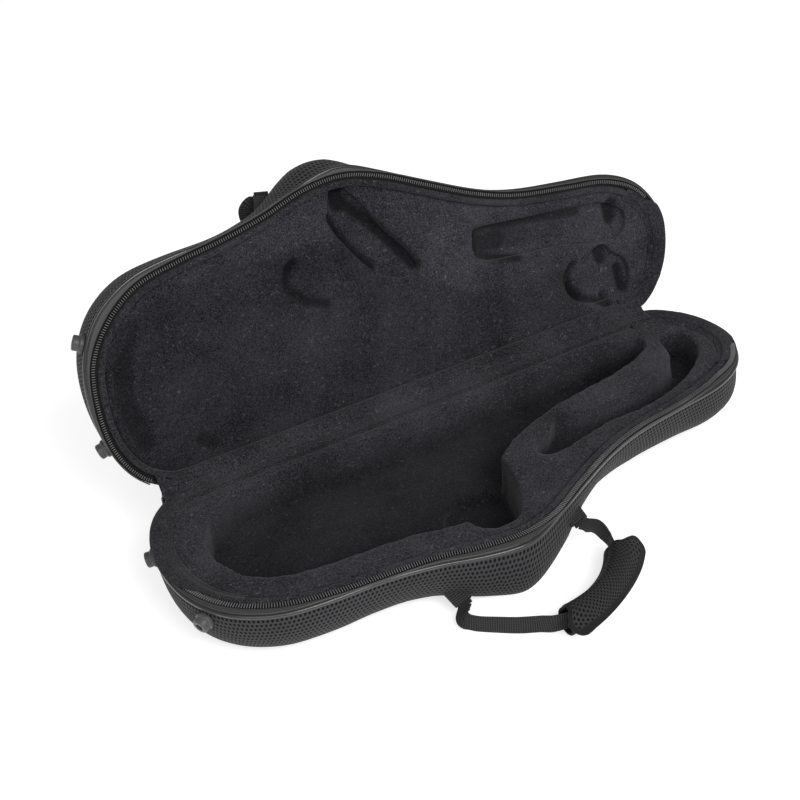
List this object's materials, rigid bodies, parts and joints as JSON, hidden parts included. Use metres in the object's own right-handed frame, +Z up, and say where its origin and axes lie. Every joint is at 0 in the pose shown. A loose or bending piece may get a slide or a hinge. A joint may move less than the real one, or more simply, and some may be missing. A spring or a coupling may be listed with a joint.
{
  "type": "alto saxophone case",
  "caption": "Shaped clamshell case for an alto saxophone, open, with a plush-lined tray and lid, zip rim, webbing carry handle, lid strap and rubber end feet.",
  "frame": {"origin": "middle of the length and width of the base, on its flat underside", "axes": "+X along the hinge from the bow end to the neck end, +Y from the handle side back to the hinge, +Z up from the floor"},
  "size_m": [0.6545, 0.4617, 0.3171],
  "materials": {
    "mesh_fabric": "dark grey spacer mesh with a dotted weave",
    "satin": "smooth satin binding",
    "piping": "glossy round piping",
    "tape": "woven tape",
    "coil": "black zip teeth",
    "plush": "short blue-black plush",
    "rubber": "matt rubber",
    "webbing": "ribbed webbing",
    "dark_metal": "dark plated metal"
  },
  "bodies": {
    "base": {"base_shell": "mesh_fabric", "base_piping": "piping", "base_rim_band": "satin", "base_zip_tape": "tape", "base_zip_coil": "coil", "base_collar": "plush", "base_hinge_tape": "satin", "base_foot_back": "rubber", "base_foot_back_screw": "dark_metal", "base_foot_front": "rubber", "base_foot_front_screw": "dark_metal", "base_liner": "plush", "handle_anchor_left": "webbing", "handle_anchor_right": "webbing", "zip_end_left": "tape", "zip_end_right": "tape", "zip_slider": "dark_metal"},
    "lid": {"lid_shell": "mesh_fabric", "lid_piping": "piping", "lid_rim_band": "satin", "lid_zip_tape": "tape", "lid_zip_coil": "coil", "lid_collar": "plush", "lid_hinge_tape": "satin", "lid_foot_back": "rubber", "lid_foot_back_screw": "dark_metal", "lid_foot_front": "rubber", "lid_foot_front_screw": "dark_metal", "lid_liner": "plush", "lid_strap_anchor_left": "webbing", "lid_strap_anchor_right": "webbing"},
    "handle": {"handle_webbing": "webbing", "handle_grip": "mesh_fabric", "grip_hook_patch": "tape", "grip_loop_patch": "tape"},
    "lid_strap_body": {"lid_strap": "webbing"},
    "pull_tab": {"zip_pull": "dark_metal"}
  },
  "joints": [
    {"name": "lid_hinge", "type": "hinge", "parent": "base", "child": "lid", "pos_m": [0, 0.125, 0.076], "axis": [1, 0, 0], "range_deg": [0, 105]},
    {"name": "handle_swing", "type": "hinge", "parent": "base", "child": "handle", "pos_m": [-0.09194, -0.10493, 0.01257], "axis": [-0.9783, -0.0541, -0.2], "range_deg": [0, 62]},
    {"name": "lid_strap_swing", "type": "hinge", "parent": "lid", "child": "lid_strap_body", "pos_m": [-0.09298, 0.24976, 0.28359], "axis": [0.9793, -0.0788, -0.1867], "range_deg": [-8, 97]},
    {"name": "zip_pull_swing", "type": "hinge", "parent": "base", "child": "pull_tab", "pos_m": [-0.28333, 0.12119, 0.076], "axis": [0.8722, 0.4891, 0], "range_deg": [-5, 114]}
  ]
}
